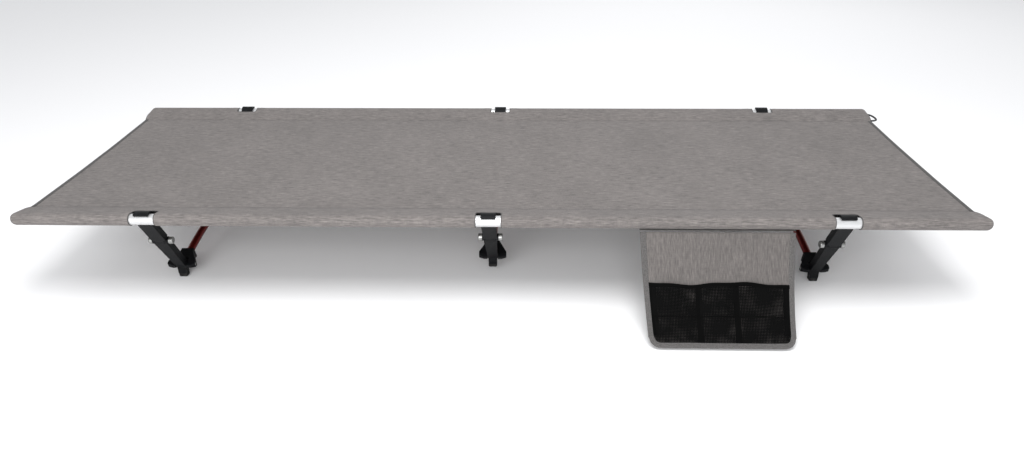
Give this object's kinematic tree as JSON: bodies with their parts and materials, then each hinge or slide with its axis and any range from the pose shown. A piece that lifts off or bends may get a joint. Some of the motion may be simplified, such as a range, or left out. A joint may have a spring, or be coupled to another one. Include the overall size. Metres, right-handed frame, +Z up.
{
  "type": "folding camp cot",
  "caption": "Low folding camp cot with a grey woven bed on silver rails, red arched poles, black hook levers and a hanging mesh side pocket.",
  "frame": {"origin": "on the floor, under the middle of the bed", "axes": "+X along the bed towards the end with the corner loop; +Y across the bed from the pocket side to the other side; +Z up"},
  "size_m": [1.9189, 0.7879, 0.206],
  "materials": {
    "grey_cloth": "woven heather grey polyester",
    "edge_tape": "woven polyester tape",
    "black_mesh": "open knitted mesh",
    "bright_aluminium": "satin anodised tube",
    "red_anodised": "red anodised tube",
    "black_nylon": "moulded nylon, fine texture",
    "black_rubber": "matt",
    "bright_steel": "turned",
    "black_cord": "braided elastic cord"
  },
  "bodies": {
    "frame": {"back_rail_end_caps": "black_nylon", "back_rail_ferrules": "bright_aluminium", "back_rail_tube_1": "bright_aluminium", "back_rail_tube_2": "bright_aluminium", "back_rail_tube_3": "bright_aluminium", "back_rail_tube_4": "bright_aluminium", "back_rail_tube_5": "bright_aluminium", "back_shock_cord": "black_cord", "bed_cloth": "grey_cloth", "corner_loop": "black_cord", "foot_pins": "bright_steel", "front_rail_end_caps": "black_nylon", "front_rail_ferrules": "bright_aluminium", "front_rail_tube_1": "bright_aluminium", "front_rail_tube_2": "bright_aluminium", "front_rail_tube_3": "bright_aluminium", "front_rail_tube_4": "bright_aluminium", "front_rail_tube_5": "bright_aluminium", "front_shock_cord": "black_cord", "left_arch_pole": "red_anodised", "left_back_yoke": "black_nylon", "left_front_yoke": "black_nylon", "left_hem_binding": "edge_tape", "middle_arch_pole": "red_anodised", "middle_back_yoke": "black_nylon", "middle_front_yoke": "black_nylon", "pocket_seam_tape": "edge_tape", "right_arch_pole": "red_anodised", "right_back_yoke": "black_nylon", "right_front_yoke": "black_nylon", "right_hem_binding": "edge_tape"},
    "left_front_lever_set": {"left_front_lever": "black_nylon", "left_front_foot_pad": "black_rubber", "left_front_cross_bolt": "bright_steel"},
    "left_front_hook": {"left_front_hook_arm": "black_nylon"},
    "left_back_lever_set": {"left_back_lever": "black_nylon", "left_back_foot_pad": "black_rubber", "left_back_cross_bolt": "bright_steel"},
    "left_back_hook": {"left_back_hook_arm": "black_nylon"},
    "middle_front_lever_set": {"middle_front_lever": "black_nylon", "middle_front_foot_pad": "black_rubber", "middle_front_cross_bolt": "bright_steel"},
    "middle_front_hook": {"middle_front_hook_arm": "black_nylon"},
    "middle_back_lever_set": {"middle_back_lever": "black_nylon", "middle_back_foot_pad": "black_rubber", "middle_back_cross_bolt": "bright_steel"},
    "middle_back_hook": {"middle_back_hook_arm": "black_nylon"},
    "right_front_lever_set": {"right_front_lever": "black_nylon", "right_front_foot_pad": "black_rubber", "right_front_cross_bolt": "bright_steel"},
    "right_front_hook": {"right_front_hook_arm": "black_nylon"},
    "right_back_lever_set": {"right_back_lever": "black_nylon", "right_back_foot_pad": "black_rubber", "right_back_cross_bolt": "bright_steel"},
    "right_back_hook": {"right_back_hook_arm": "black_nylon"},
    "pocket": {"pocket_back": "grey_cloth", "pocket_border": "edge_tape", "pocket_mesh": "black_mesh", "pocket_mesh_hem": "edge_tape"}
  },
  "joints": [
    {"name": "left_front_lever_pivot", "type": "hinge", "parent": "frame", "child": "left_front_lever_set", "pos_m": [-0.687, -0.20878, 0.02802], "axis": [-1, 0, 0], "range_deg": [0, 0.7]},
    {"name": "left_front_hook_pivot", "type": "hinge", "parent": "left_front_lever_set", "child": "left_front_hook", "pos_m": [-0.687, -0.26549, 0.11876], "axis": [-1, 0, 0], "range_deg": [0, 1]},
    {"name": "left_back_lever_pivot", "type": "hinge", "parent": "frame", "child": "left_back_lever_set", "pos_m": [-0.687, 0.20878, 0.02802], "axis": [1, 0, 0], "range_deg": [0, 0.7]},
    {"name": "left_back_hook_pivot", "type": "hinge", "parent": "left_back_lever_set", "child": "left_back_hook", "pos_m": [-0.687, 0.26549, 0.11876], "axis": [1, 0, 0], "range_deg": [0, 1]},
    {"name": "middle_front_lever_pivot", "type": "hinge", "parent": "frame", "child": "middle_front_lever_set", "pos_m": [-0.011, -0.18723, 0.04369], "axis": [-1, 0, 0], "range_deg": [0, 0.7]},
    {"name": "middle_front_hook_pivot", "type": "hinge", "parent": "middle_front_lever_set", "child": "middle_front_hook", "pos_m": [-0.011, -0.25601, 0.12565], "axis": [-1, 0, 0], "range_deg": [0, 1]},
    {"name": "middle_back_lever_pivot", "type": "hinge", "parent": "frame", "child": "middle_back_lever_set", "pos_m": [-0.011, 0.18723, 0.04369], "axis": [1, 0, 0], "range_deg": [0, 0.7]},
    {"name": "middle_back_hook_pivot", "type": "hinge", "parent": "middle_back_lever_set", "child": "middle_back_hook", "pos_m": [-0.011, 0.25601, 0.12565], "axis": [1, 0, 0], "range_deg": [0, 1]},
    {"name": "right_front_lever_pivot", "type": "hinge", "parent": "frame", "child": "right_front_lever_set", "pos_m": [0.676, -0.20878, 0.02802], "axis": [-1, 0, 0], "range_deg": [0, 0.7]},
    {"name": "right_front_hook_pivot", "type": "hinge", "parent": "right_front_lever_set", "child": "right_front_hook", "pos_m": [0.676, -0.26549, 0.11876], "axis": [-1, 0, 0], "range_deg": [0, 1]},
    {"name": "right_back_lever_pivot", "type": "hinge", "parent": "frame", "child": "right_back_lever_set", "pos_m": [0.676, 0.20878, 0.02802], "axis": [1, 0, 0], "range_deg": [0, 0.7]},
    {"name": "right_back_hook_pivot", "type": "hinge", "parent": "right_back_lever_set", "child": "right_back_hook", "pos_m": [0.676, 0.26549, 0.11876], "axis": [1, 0, 0], "range_deg": [0, 1]},
    {"name": "pocket_swing", "type": "hinge", "parent": "frame", "child": "pocket", "pos_m": [0.43, -0.3193, 0.1766], "axis": [-1, 0, 0], "range_deg": [0, 95]}
  ]
}
